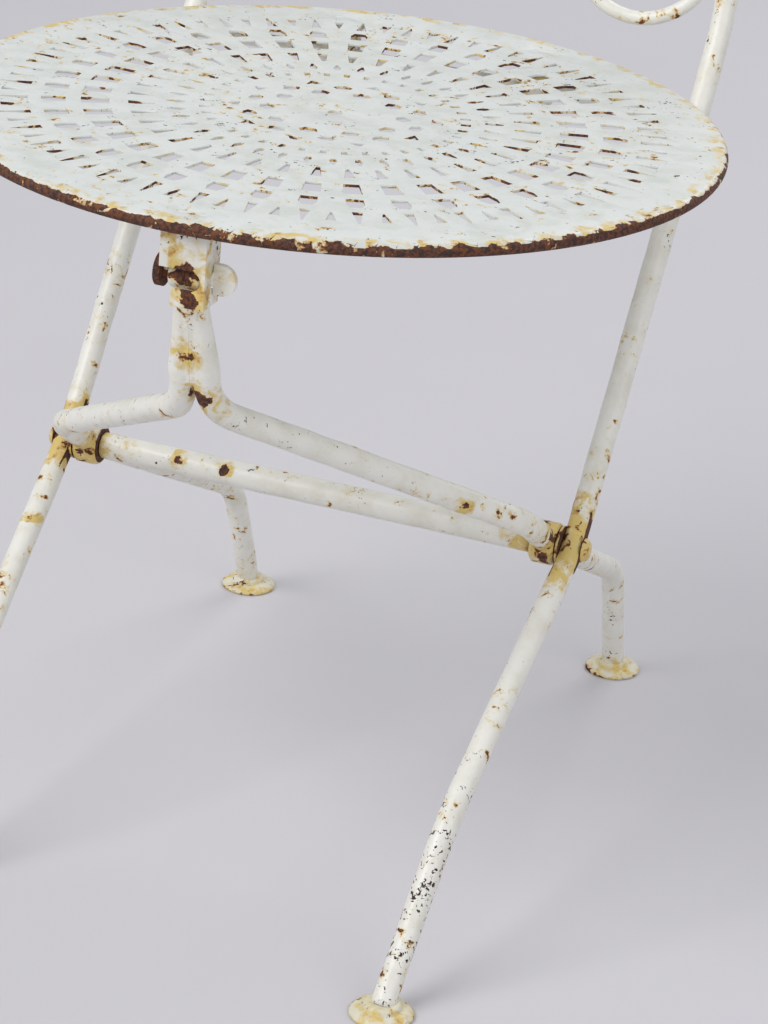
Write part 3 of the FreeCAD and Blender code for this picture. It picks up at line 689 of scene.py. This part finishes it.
def forged_together(bm: bmesh.types.BMesh, grain: float, rounds: int) -> bmesh.types.BMesh:
    """Melt overlapping bars and eyes into one skin with soft inner corners.

    Args:
        bm: The overlapping closed shells, which are freed.
        grain: The size of the new faces, in metres.
        rounds: How often the skin is smoothed.

    Returns:
        The skin.
    """
    mesh = bpy.data.meshes.new("forging")
    bm.to_mesh(mesh)
    bm.free()
    lump = bpy.data.objects.new("forging", mesh)
    bpy.context.scene.collection.objects.link(lump)
    remesh = lump.modifiers.new("skin", "REMESH")
    remesh.mode = "VOXEL"
    remesh.voxel_size = grain
    bpy.context.view_layer.update()
    shown = lump.evaluated_get(bpy.context.evaluated_depsgraph_get())
    skin = bmesh.new()
    skin.from_mesh(shown.to_mesh())
    shown.to_mesh_clear()
    bpy.data.objects.remove(lump)
    bpy.data.meshes.remove(mesh)
    for _ in range(rounds):
        bmesh.ops.smooth_vert(skin, verts=skin.verts, factor=0.5, use_axis_x=True,
                              use_axis_y=True, use_axis_z=True)
    return skin


@dataclass
class Measures:
    """Sizes and places that several sub-assemblies share."""

    bar: float = 6.5 * MM
    fork_bar: float = 7.0 * MM
    lean: float = math.radians(15)
    half_width: float = 156.0
    bend_y: float = 200.4
    bend_z: float = 432.0
    spring_z: float = 680.0
    pivot: Vector = field(default_factory=lambda: place(0, 12.5, 182.5))
    flat_inner: float = 146.9 * MM
    flat_outer: float = 158.3 * MM

    @property
    def back_up(self) -> Vector:
        """Up along the leaning back."""
        return Vector((0.0, math.sin(self.lean), math.cos(self.lean)))

    @property
    def back_face(self) -> Vector:
        """Square to the leaning back, away from the sitter."""
        return Vector((0.0, math.cos(self.lean), -math.sin(self.lean)))

    @property
    def seat_bend(self) -> Vector:
        """Where the right upright bends over the seat."""
        return place(self.half_width, self.bend_y, self.bend_z)

    @property
    def spring_reach(self) -> float:
        """From that bend to the arch's springing, along the back."""
        return (self.spring_z - self.bend_z) * MM / math.cos(self.lean)

    @property
    def spring(self) -> Vector:
        """The springing on the right."""
        return self.seat_bend + self.back_up * self.spring_reach

    def back_point(self, across: float, up: float) -> Vector:
        """A point of the back's plane.

        Args:
            across: From the middle, in metres.
            up: From the bend over the seat, in metres.

        Returns:
            The point.
        """
        middle = place(0, self.bend_y, self.bend_z)
        return middle + ACROSS * across + self.back_up * up


@dataclass
class FootDisc:
    """A foot: thin turned disc, crown and the collar of weld round the bar."""

    radius: float = 17.0 * MM
    edge: float = 2.2 * MM
    crown: float = 4.6 * MM
    crown_radius: float = 11.5 * MM
    weld_radius: float = 9.4 * MM
    weld_height: float = 3.0 * MM

    def build(self, spot: Vector) -> bmesh.types.BMesh:
        """The disc at its place.

        Args:
            spot: The middle of its underside.

        Returns:
            The mesh.
        """
        lip = 0.6 * MM
        top = arc_outline((self.radius - lip, self.edge), (self.crown_radius, self.crown),
                          0.5 * MM, 5)
        collar = arc_outline((self.crown_radius - MM, self.crown),
                             (self.weld_radius - 3 * MM, self.crown + self.weld_height),
                             1.4 * MM, 6)
        outline = [(0.0, 0.0), (self.crown_radius, 0.0), (self.radius - lip, 0.0),
                   (self.radius, lip), (self.radius, self.edge - lip)]
        outline += top + collar + [(0.0, self.crown + self.weld_height)]
        bm = turned(outline, spot, UP, 56)
        hammered(bm, 0.25 * MM, 9 * MM, spot.x * 40)
        for vert in bm.verts:
            vert.co.z = max(vert.co.z, 0.0)
        return bm


@dataclass
class FrontFrame:
    """Front legs and uprights, crossbar, feet, rear rod."""

    shop: Shop
    sizes: Measures
    shin_bend: float = 120 * MM
    pivot_bend: float = 60 * MM
    seat_bend: float = 150 * MM
    crossbar_radius: float = 7.5 * MM
    shoulder: float = 129.7 * MM
    head_radius: float = 7.0 * MM
    head_height: float = 3.6 * MM
    rod_radius: float = 4.5 * MM

    def long_bar(self) -> bmesh.types.BMesh:
        """The right bar, from its foot to the arch, flattened at the pivot.

        Returns:
            The mesh.
        """
        bm = bmesh.new()
        pivot = self.sizes.pivot.copy()
        pivot.x = (self.sizes.flat_inner + self.sizes.flat_outer) / 2
        foot = place(136, -205, 4.6)
        Bar(self.sizes.bar).through(
            bm, [foot, place(142, -140, 84), pivot, self.sizes.seat_bend, self.sizes.spring],
            [self.shin_bend, self.pivot_bend, self.seat_bend],
        )
        self.flatten(bm, pivot)
        hammered(bm, 0.28 * MM, 16 * MM, 3.1)
        return bm

    def flatten(self, bm: bmesh.types.BMesh, pivot: Vector) -> None:
        """Hammer the bar flat where the axle passes, and spread it a little.

        Args:
            bm: The bar.
            pivot: The middle of the flat.
        """
        half = (self.sizes.flat_outer - self.sizes.flat_inner) / 2
        reach, full = 24 * MM, 12 * MM
        for vert in bm.verts:
            gap = math.hypot(vert.co.y - pivot.y, vert.co.z - pivot.z)
            if gap < reach:
                part = min(1.0, (reach - gap) / (reach - full))
                part = part * part * (3 - 2 * part)
                off = vert.co.x - pivot.x
                flat = max(-half, min(half, off))
                vert.co.x = pivot.x + off + (flat - off) * part

    def crossbar(self) -> bmesh.types.BMesh:
        """The tie bar with its tenons and riveted heads.

        Returns:
            The mesh.
        """
        outer = self.sizes.flat_outer
        tenon = 4.5 * MM
        soft = 0.8 * MM
        steps = 60
        waist = [
            (self.crossbar_radius, -self.shoulder + soft
             + (2 * self.shoulder - 2 * soft) * k / steps)
            for k in range(steps + 1)
        ]
        low = arc_outline((0.0, -outer - self.head_height), (self.head_radius, -outer),
                          2.1 * MM, 8)
        high = arc_outline((self.head_radius, outer), (0.0, outer + self.head_height),
                           2.1 * MM, 8)
        outline = low + [(tenon, -outer), (tenon, -self.shoulder),
                         (self.crossbar_radius - soft, -self.shoulder)]
        outline += waist + [(self.crossbar_radius - soft, self.shoulder),
                            (tenon, self.shoulder), (tenon, outer)] + high
        bm = turned(outline, self.sizes.pivot, ACROSS, 40)
        hammered(bm, 0.25 * MM, 14 * MM, 7.7)
        return bm

    def seat_rod(self) -> bmesh.types.BMesh:
        """The rear rod between the uprights; the weld at its ends is not modelled.

        Returns:
            The mesh.
        """
        bm = bmesh.new()
        reach = 150.5 * MM
        middle = place(0, 167, 388)
        Bar(self.rod_radius, sides=28).through(
            bm, [middle - ACROSS * reach, middle + ACROSS * reach], [])
        hammered(bm, 0.1 * MM, 12 * MM, 1.3)
        return bm

    def build(self) -> None:
        """Make every piece of the front frame."""
        bar = self.long_bar()
        disc = FootDisc()
        for side in Side:
            mesh = bar.copy() if side is Side.RIGHT else mirrored(bar)
            self.shop.finish(mesh, f"bar_{side.word}", Body.FRAME, Slot.FRAME, "frame_bars",
                             f"long_bar_{side.word}")
            spot = place(136 * side.value, -205, 0)
            self.shop.finish(disc.build(spot), f"front_disc_{side.word}", Body.FRAME,
                             Slot.FOOT, "foot_discs", f"front_foot_{side.word}")
        bar.free()
        self.shop.finish(self.crossbar(), "tie_bar", Body.FRAME, Slot.FRAME, "frame_bars",
                         "crossbar")
        self.shop.finish(self.seat_rod(), "rear_rod", Body.FRAME, Slot.FRAME, "back_bars",
                         "seat_rod")


@dataclass
class Back:
    """Arch and lyre scrolls; the collars that hold them come with the formed parts."""

    shop: Shop
    sizes: Measures
    rod: float = 4.0 * MM
    weld_gap: float = 0.1 * MM
    curls: tuple = (41 * MM, 31 * MM, 21 * MM, 12 * MM)
    top_curls: tuple = (26 * MM, 17 * MM, 10 * MM)
    curl_z: float = 470.0
    straight: float = 16.1 * MM
    rise: float = 180 * MM

    def arch(self) -> bmesh.types.BMesh:
        """The half-round arch over the back.

        Returns:
            The mesh.
        """
        bm = bmesh.new()
        bar = Bar(self.sizes.bar)
        edges = bar.start(bm, self.sizes.spring, self.sizes.back_up)
        centre = self.sizes.spring - ACROSS * self.sizes.half_width * MM
        bar.bend(bm, edges, centre, self.sizes.back_face * -1, math.pi,
                 self.sizes.half_width * MM)
        bar.close(bm)
        hammered(bm, 0.28 * MM, 16 * MM, 3.1)
        return bm

    def scroll(self) -> bmesh.types.BMesh:
        """The right half of the lyre, from its bottom curl to its top one.

        Returns:
            The mesh.
        """
        sizes = self.sizes
        outer = sizes.half_width * MM - sizes.bar - self.weld_gap - self.rod
        level = (self.curl_z - sizes.bend_z) * MM / math.cos(sizes.lean)
        middle = self.rod + self.weld_gap / 2
        across = outer - middle
        turn = 2 * math.atan2(across, self.rise)
        sway = self.rise / (2 * math.sin(turn))
        anticlockwise = sizes.back_face * -1
        clockwise = sizes.back_face
        bm = bmesh.new()
        bar = Bar(self.rod, sides=24, step=2.5 * MM)
        big, second, third, inmost = self.curls
        spans = (
            (outer - 2 * big + 2 * second - 2 * third + inmost, inmost),
            (outer - 2 * big + 2 * second - third, third),
            (outer - 2 * big + second, second),
            (outer - big, big),
        )
        first = sizes.back_point(spans[0][0] + inmost, level)
        edges = bar.start(bm, first, sizes.back_up)
        for centre, radius in spans:
            spot = sizes.back_point(centre, level)
            edges = bar.bend(bm, edges, spot, anticlockwise, math.pi, radius)
        edges = bar.run(bm, edges, sizes.back_up * self.straight)
        start = level + self.straight
        edges = bar.bend(bm, edges, sizes.back_point(outer - sway, start), anticlockwise,
                         turn, sway)
        end = start + self.rise
        edges = bar.bend(bm, edges, sizes.back_point(middle + sway, end), clockwise,
                         turn, sway)
        top = self.top_curls[0]
        nesting = sizes.half_width * MM - sizes.bar - top - self.rod - self.weld_gap
        top_level = sizes.spring_reach + math.sqrt(nesting ** 2 - (middle + top) ** 2)
        edges = bar.run(bm, edges, sizes.back_up * (top_level - end))
        centre = middle + top
        direction = 1
        for radius, following in zip(self.top_curls, self.top_curls[1:] + (None,)):
            edges = bar.bend(bm, edges, sizes.back_point(centre, top_level), clockwise,
                             math.pi, radius)
            if following:
                centre += direction * (radius - following)
                direction = -direction
        bar.close(bm)
        hammered(bm, 0.12 * MM, 12 * MM, 5.9)
        return bm

    def build(self) -> None:
        """Make the arch and both scrolls."""
        self.shop.finish(self.arch(), "arch", Body.FRAME, Slot.FRAME, "back_bars",
                         "back_arch")
        scroll = self.scroll()
        left = mirrored(scroll)
        for side, mesh in ((Side.RIGHT, scroll), (Side.LEFT, left)):
            self.shop.finish(mesh, f"scroll_{side.word}", Body.FRAME, Slot.FRAME,
                             "back_bars", f"back_scroll_{side.word}")


@dataclass
class RearFork:
    """Rear legs, pivot eyes, arms and stem, forged into one fork."""

    shop: Shop
    sizes: Measures
    eye_radius: float = 12.0 * MM
    eye_length: float = 14.6 * MM
    eye_inner: float = 130.0 * MM
    head_radius: float = 8.0 * MM
    neck_radius: float = 4.6 * MM
    grain: float = 0.85 * MM
    welds: tuple = ((6.2, 16, 36), (5.2, 30, 60))

    def bar(self) -> bmesh.types.BMesh:
        """The right bar, with its eye and its half of the head.

        Returns:
            The mesh.
        """
        sizes = self.sizes
        eye = sizes.pivot.copy()
        eye.x = self.eye_inner + self.eye_length / 2
        crotch = place(6.6, -173, 299)
        head = place(0, -191.5, 375)
        stem = (head - place(0, -173, 299)).normalized()
        neck = crotch + stem * (24 * MM)
        slim = head + ACROSS * self.neck_radius - stem * (19 * MM)
        whole = bmesh.new()
        bar = Bar(sizes.fork_bar)
        bar.through(
            whole,
            [place(124, 247, 4.6), place(126, 214, 82), eye, place(138, -28, 209), crotch, neck],
            [50 * MM, 60 * MM, 30 * MM, 30 * MM],
        )
        cone = bmesh.new()
        edges = bar.start(cone, neck - stem * MM, stem)
        drawn = bmesh.ops.extrude_edge_only(cone, edges=edges)["geom"]
        ring = [item for item in drawn if isinstance(item, bmesh.types.BMVert)]
        bmesh.ops.translate(cone, vec=slim - neck + stem * MM, verts=ring)
        bmesh.ops.scale(cone, vec=(self.neck_radius / sizes.fork_bar,) * 3, verts=ring,
                        space=Matrix.Translation(-slim))
        bar.close(cone)
        shank = bmesh.new()
        Bar(self.neck_radius).through(shank, [slim - stem * MM, slim + stem * (19 * MM)], [])
        lip = 1.6 * MM
        boss = turned(
            [(0.0, -self.eye_length / 2), (self.eye_radius - lip, -self.eye_length / 2),
             (self.eye_radius, -self.eye_length / 2 + lip),
             (self.eye_radius, self.eye_length / 2 - lip),
             (self.eye_radius - lip, self.eye_length / 2), (0.0, self.eye_length / 2)],
            eye, ACROSS,
        )
        top = turned(
            [(0.0, 0.0), (self.head_radius, 0.0), (self.head_radius, 2 * self.neck_radius - MM),
             (self.head_radius - MM, 2 * self.neck_radius), (0.0, 2 * self.neck_radius)],
            head, ACROSS,
        )
        weld = bmesh.new()
        foot = place(0, -173, 299)
        for radius, low, high in self.welds:
            Bar(radius * MM).through(
                weld, [foot + stem * (low * MM), foot + stem * (high * MM)], [])
        parts = joined(whole, cone, shank, boss, top, weld)
        skin = forged_together(parts, self.grain, 2)
        bmesh.ops.bisect_plane(skin, geom=skin.verts[:] + skin.edges[:] + skin.faces[:],
                               dist=1e-6, plane_co=(0.02 * MM, 0.0, 0.0),
                               plane_no=(-1.0, 0.0, 0.0), clear_outer=True)
        rims = [edge for edge in skin.edges if edge.is_boundary]
        bmesh.ops.holes_fill(skin, edges=rims, sides=0)
        bmesh.ops.recalc_face_normals(skin, faces=skin.faces)
        self.press(skin, eye)
        return skin

    def press(self, skin: bmesh.types.BMesh, eye: Vector) -> None:
        """Hammer the bar and keep its running faces true.

        Args:
            skin: The forged bar.
            eye: The middle of its eye.
        """
        flats = {}
        half = self.eye_length / 2
        for vert in skin.verts:
            near = math.hypot(vert.co.y - eye.y, vert.co.z - eye.z) < self.eye_radius * 1.2
            if vert.co.x < 0.1 * MM or near:
                flats[vert] = vert.co.copy()
        hammered(skin, 0.3 * MM, 15 * MM, 11.3)
        for vert, spot in flats.items():
            vert.co = spot
            if vert.co.x > 0.1 * MM:
                vert.co.x = max(eye.x - half, min(eye.x + half, vert.co.x))

    def build(self) -> None:
        """Make both bars and their feet."""
        bar = self.bar()
        disc = FootDisc()
        left = mirrored(bar)
        for side, mesh in ((Side.RIGHT, bar), (Side.LEFT, left)):
            self.shop.finish(mesh, f"fork_{side.word}", Body.FORK, Slot.FRAME, "frame_bars",
                             f"fork_bar_{side.word}")
            spot = place(124 * side.value, 247, 0)
            self.shop.finish(disc.build(spot), f"rear_disc_{side.word}", Body.FORK,
                             Slot.FOOT, "foot_discs", f"rear_foot_{side.word}")


@dataclass
class FormedParts:
    """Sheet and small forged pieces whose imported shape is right: their edges are eased."""

    shop: Shop
    pieces: tuple = (
        ("seat_pan", "seat_disc", Body.SEAT, Slot.SEAT, "seat_sheet", 0.22),
        ("front_bracket", "bracket", Body.SEAT, Slot.SEAT, "seat_fittings", 0.5),
        ("seat_loop_right", "loop_right", Body.SEAT, Slot.SEAT, "seat_fittings", 0.5),
        ("seat_loop_left", "loop_left", Body.SEAT, Slot.SEAT, "seat_fittings", 0.5),
        ("bracket_rivets", "front_rivets", Body.SEAT, Slot.IRON, "seat_sheet", 0.1),
        ("loop_rivets", "rear_rivets", Body.SEAT, Slot.IRON, "seat_sheet", 0.1),
        ("head_pin", "pin", Body.FORK, Slot.IRON, "pin_ends", 0.7),
        ("pivot_washer_right", "washer_right", Body.FRAME, Slot.IRON, "pivot_washers", 0.4),
        ("pivot_washer_left", "washer_left", Body.FRAME, Slot.IRON, "pivot_washers", 0.4),
        ("scroll_collars", "collars", Body.FRAME, Slot.FRAME, "back_bars", 0.5),
    )

    def build(self) -> None:
        """Copy each node's shape, merge it and ease its edges."""
        for node, name, body, slot, look, width in self.pieces:
            bm = bmesh.new()
            bm.from_mesh(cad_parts[node].data)
            bmesh.ops.remove_doubles(bm, verts=bm.verts, dist=2e-6)
            bmesh.ops.dissolve_degenerate(bm, dist=2e-6, edges=bm.edges)
            if node == "front_bracket":
                low, side = 374.5 * MM, -9.5 * MM
                loose = [vert for vert in bm.verts if vert.co.z < low and vert.co.x < side
                         and vert.co.y > place(0, -198, 0).y]
                bmesh.ops.delete(bm, geom=loose, context="VERTS")
            piece = self.shop.finish(bm, name, body, slot, look, node)
            ease = piece.modifiers.new("eased edges", "BEVEL")
            ease.width = width * MM
            ease.segments = 2
            ease.limit_method = "ANGLE"
            ease.angle_limit = math.radians(40)
            ease.use_clamp_overlap = True
            ease.harden_normals = True
        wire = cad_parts["rim_wire"]
        self.shop.finishes.put(wire, "rusty_iron")


@dataclass
class Studio:
    """Pale floor, soft light and the camera of the photograph."""

    eye: tuple = (602.0, -1677.0, 952.6)
    azimuth: float = math.radians(18.335)
    elevation: float = math.radians(23.486)
    roll: float = math.radians(4.893)
    focal_pixels: float = 3479.6
    frame_height: float = 1024.0
    film: float = 36.0

    def camera(self) -> None:
        """Stand the camera where the photograph was taken from."""
        cos_el = math.cos(self.elevation)
        back = Vector((math.sin(self.azimuth) * cos_el, -math.cos(self.azimuth) * cos_el,
                       math.sin(self.elevation)))
        level = Vector((math.cos(self.azimuth), math.sin(self.azimuth), 0.0))
        high = back.cross(level)
        right = level * math.cos(self.roll) + high * math.sin(self.roll)
        top = high * math.cos(self.roll) - level * math.sin(self.roll)
        turn = Matrix((right, top, back)).transposed().to_4x4()
        data = bpy.data.cameras.new("photo_camera")
        data.sensor_fit = "VERTICAL"
        data.sensor_height = self.film
        data.lens = self.focal_pixels / self.frame_height * self.film
        data.clip_end = 50.0
        camera = bpy.data.objects.new("photo_camera", data)
        camera.matrix_world = Matrix.Translation(place(*self.eye)) @ turn
        bpy.context.scene.collection.objects.link(camera)
        bpy.context.scene.camera = camera

    def lamp(self, name: str, spot: tuple, aim: tuple, width: float, power: float) -> None:
        """A square soft lamp.

        Args:
            name: Its name.
            spot: Where it hangs, in metres.
            aim: What it looks at.
            width: Its side.
            power: In watts.
        """
        data = bpy.data.lights.new(name, "AREA")
        data.size = width
        data.energy = power
        lamp = bpy.data.objects.new(name, data)
        way = Vector(spot) - Vector(aim)
        lamp.matrix_world = (Matrix.Translation(spot)
                             @ UP.rotation_difference(way).to_matrix().to_4x4())
        bpy.context.scene.collection.objects.link(lamp)

    def floor(self) -> None:
        """A wide, pale floor of faintly uneven tone."""
        bm = bmesh.new()
        bmesh.ops.create_grid(bm, x_segments=1, y_segments=1, size=12.0)
        mesh = bpy.data.meshes.new("floor")
        bm.to_mesh(mesh)
        bm.free()
        ground = bpy.data.objects.new("floor", mesh)
        bpy.context.scene.collection.objects.link(ground)
        material = bpy.data.materials.new("pale_floor")
        material.use_nodes = True
        graph = Graph(material.node_tree)
        at = graph.node("TexCoord", {}).outputs["Object"]
        tone = graph.mix(graph.noise(at, 3.0, 3.0), (0.56, 0.545, 0.565, 1.0),
                         (0.60, 0.585, 0.605, 1.0))
        shader = material.node_tree.nodes["Principled BSDF"]
        graph.feed(shader.inputs["Base Color"], tone)
        shader.inputs["Roughness"].default_value = 0.9
        shader.inputs["Specular IOR Level"].default_value = 0.1
        mesh.materials.append(material)

    def build(self) -> None:
        """Set the camera, the lamps, the world and the floor."""
        self.camera()
        self.floor()
        self.lamp("key", (-1.6, -1.9, 2.6), (0.0, 0.0, 0.3), 1.8, 62.0)
        self.lamp("fill", (2.4, -1.6, 1.6), (0.0, 0.0, 0.3), 2.2, 18.0)
        self.lamp("rim", (0.6, 2.4, 2.2), (0.0, 0.0, 0.4), 1.6, 22.0)
        world = bpy.data.worlds.new("soft_sky")
        world.use_nodes = True
        sky = world.node_tree.nodes["Background"]
        sky.inputs["Color"].default_value = (0.93, 0.95, 1.0, 1.0)
        sky.inputs["Strength"].default_value = 0.62
        bpy.context.scene.world = world
        bpy.context.scene.view_settings.view_transform = "Standard"


def main() -> None:
    """Build the chair's looks and the studio round it."""
    logging.basicConfig(level=logging.INFO)
    sizes = Measures()
    shop = Shop(Finishes())
    Studio().build()
    FrontFrame(shop, sizes).build()
    Back(shop, sizes).build()
    RearFork(shop, sizes).build()
    FormedParts(shop).build()
    bpy.context.view_layer.update()


if __name__ == "__main__":
    main()
